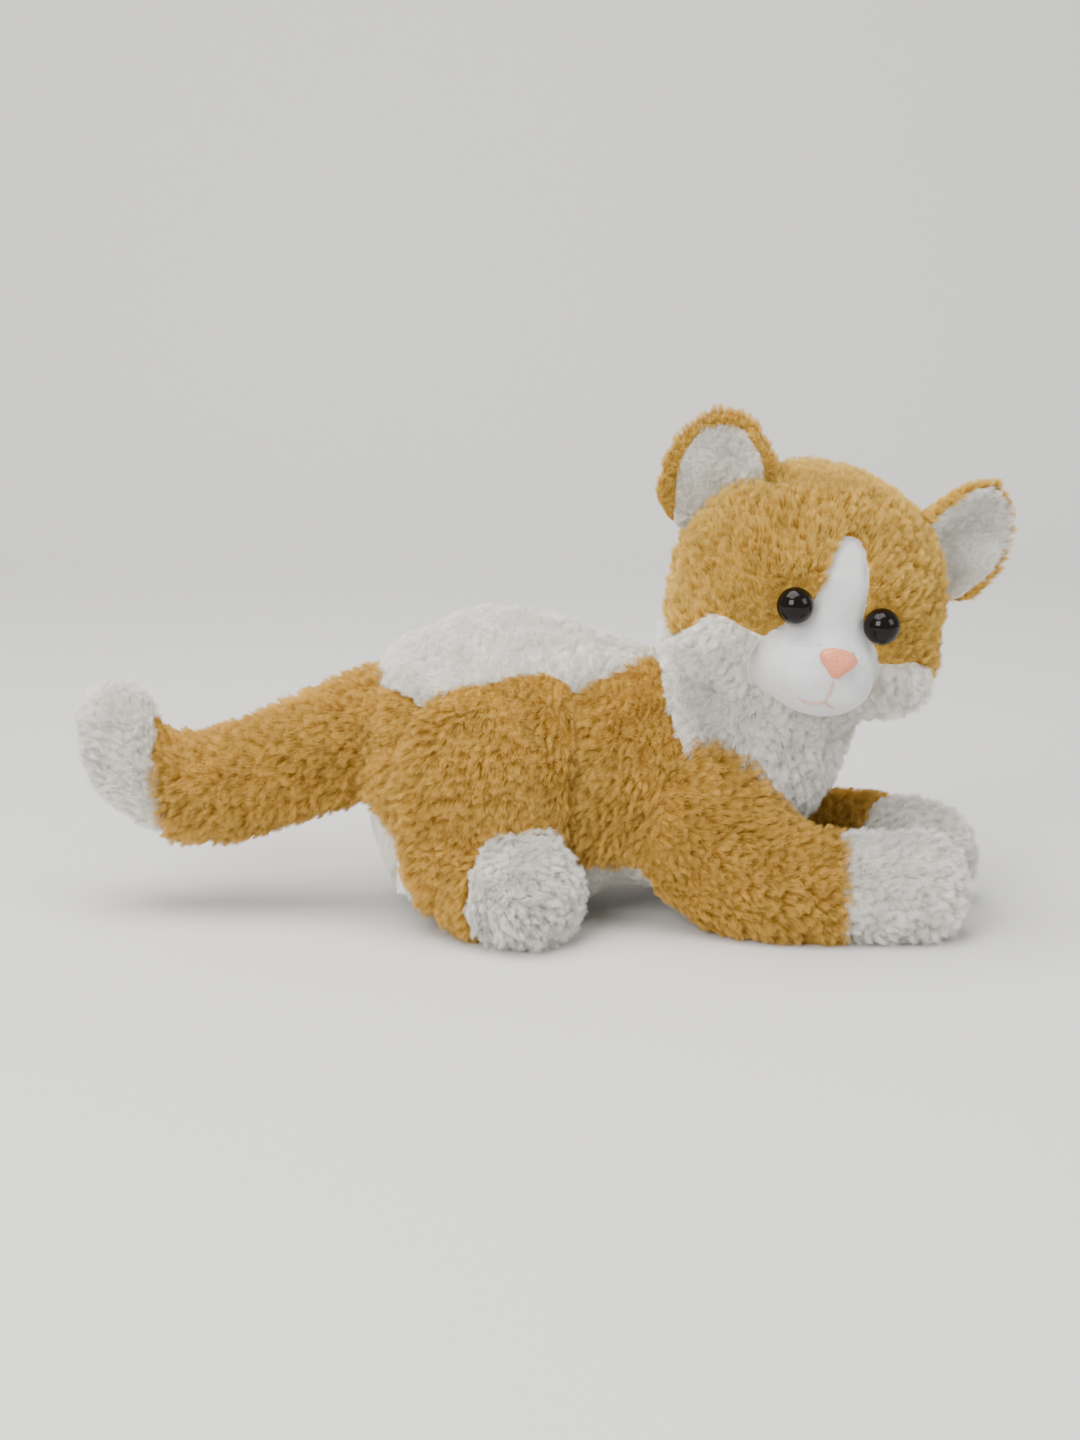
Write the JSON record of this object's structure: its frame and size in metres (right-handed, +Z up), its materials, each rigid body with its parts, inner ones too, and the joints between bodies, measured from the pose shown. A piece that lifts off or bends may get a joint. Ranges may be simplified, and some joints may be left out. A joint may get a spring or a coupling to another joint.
{
  "type": "plush cat",
  "caption": "Lying stuffed cat in ginger and white pile fabric with glossy safety eyes, turned head, outstretched forelegs and raised tail",
  "frame": {"origin": "on the flat seat of the belly panel that the hips rest on, at table height", "axes": "+X from the tail towards the forepaws, +Y towards the cat's left side, +Z up"},
  "size_m": [0.3858, 0.1607, 0.2131],
  "materials": {
    "ginger_pile": "matte",
    "white_pile": "matte",
    "white_velour": "matte",
    "nose_satin": "satin",
    "mouth_thread": "satin",
    "label_satin": "satin",
    "eye_acrylic": "gloss",
    "washer_plastic": "matte",
    "fibre_filling": "matte"
  },
  "bodies": {
    "torso": {"back_saddle_panel": "white_pile", "belly_panel": "white_pile", "bib_panel": "white_pile", "body_side_right": "ginger_pile", "body_side_left": "ginger_pile", "torso_filling": "fibre_filling", "care_label": "label_satin"},
    "neck": {"neck_filling": "fibre_filling"},
    "head": {"head_crown": "ginger_pile", "cheek_right": "white_pile", "cheek_left": "white_pile", "muzzle_panel": "white_velour", "head_filling": "fibre_filling", "nose": "nose_satin", "mouth_stitch": "mouth_thread", "eye_right": "eye_acrylic", "eye_left": "eye_acrylic", "eye_washer_right": "washer_plastic", "eye_washer_left": "washer_plastic"},
    "ear_right": {"ear_back_right": "ginger_pile", "ear_lining_right": "white_pile"},
    "ear_left": {"ear_back_left": "ginger_pile", "ear_lining_left": "white_pile"},
    "foreleg_right": {"foreleg_sleeve_right": "ginger_pile", "forepaw_right": "white_pile", "foreleg_filling_right": "fibre_filling"},
    "foreleg_left": {"foreleg_sleeve_left": "ginger_pile", "forepaw_left": "white_pile", "foreleg_filling_left": "fibre_filling"},
    "hindleg_right": {"thigh_cover_right": "ginger_pile", "hindpaw_right": "white_pile", "hindleg_filling_right": "fibre_filling"},
    "hindleg_left": {"thigh_cover_left": "ginger_pile", "hindpaw_left": "white_pile", "hindleg_filling_left": "fibre_filling"},
    "tail": {"tail_cover": "ginger_pile", "tail_filling": "fibre_filling"},
    "tail_tip": {"tail_tip_cover": "white_pile", "tail_tip_filling": "fibre_filling"}
  },
  "joints": [
    {"name": "head_turn", "type": "hinge", "parent": "torso", "child": "neck", "pos_m": [0.1, -0.009, 0.1], "axis": [0, 0, 1], "range_deg": [-20, 20], "stiffness_Nm_per_rad": 1.2},
    {"name": "head_nod", "type": "hinge", "parent": "neck", "child": "head", "pos_m": [0.1, -0.009, 0.1], "axis": [0.9816, 0.1908, 0], "range_deg": [-8, 8], "stiffness_Nm_per_rad": 3},
    {"name": "ear_right_flop", "type": "hinge", "parent": "head", "child": "ear_right", "pos_m": [0.07285, -0.02315, 0.16967], "axis": [0.9093, -0.2049, 0.3623], "range_deg": [-20, 20], "stiffness_Nm_per_rad": 0.2},
    {"name": "ear_left_flop", "type": "hinge", "parent": "head", "child": "ear_left", "pos_m": [0.15629, -0.00693, 0.1469], "axis": [0.4763, 0.4742, -0.7405], "range_deg": [-20, 20], "stiffness_Nm_per_rad": 0.2},
    {"name": "foreleg_right_spread", "type": "hinge", "parent": "torso", "child": "foreleg_right", "pos_m": [0.064, -0.033, 0.042], "axis": [0, 0, -1], "range_deg": [0, 25], "stiffness_Nm_per_rad": 0.4},
    {"name": "foreleg_left_spread", "type": "hinge", "parent": "torso", "child": "foreleg_left", "pos_m": [0.064, 0.033, 0.042], "axis": [0, 0, 1], "range_deg": [0, 25], "stiffness_Nm_per_rad": 0.4},
    {"name": "hindleg_right_spread", "type": "hinge", "parent": "torso", "child": "hindleg_right", "pos_m": [-0.024, -0.031, 0.052], "axis": [0, 0, -1], "range_deg": [0, 15], "stiffness_Nm_per_rad": 0.4},
    {"name": "hindleg_left_spread", "type": "hinge", "parent": "torso", "child": "hindleg_left", "pos_m": [-0.024, 0.031, 0.052], "axis": [0, 0, 1], "range_deg": [0, 15], "stiffness_Nm_per_rad": 0.4},
    {"name": "tail_wag", "type": "hinge", "parent": "torso", "child": "tail", "pos_m": [-0.06, 0, 0.079], "axis": [0, 0, 1], "range_deg": [-30, 30], "stiffness_Nm_per_rad": 0.4},
    {"name": "tail_curl", "type": "hinge", "parent": "tail", "child": "tail_tip", "pos_m": [-0.153, 0, 0.055], "axis": [0, 1, 0], "range_deg": [-25, 25], "stiffness_Nm_per_rad": 0.2}
  ]
}
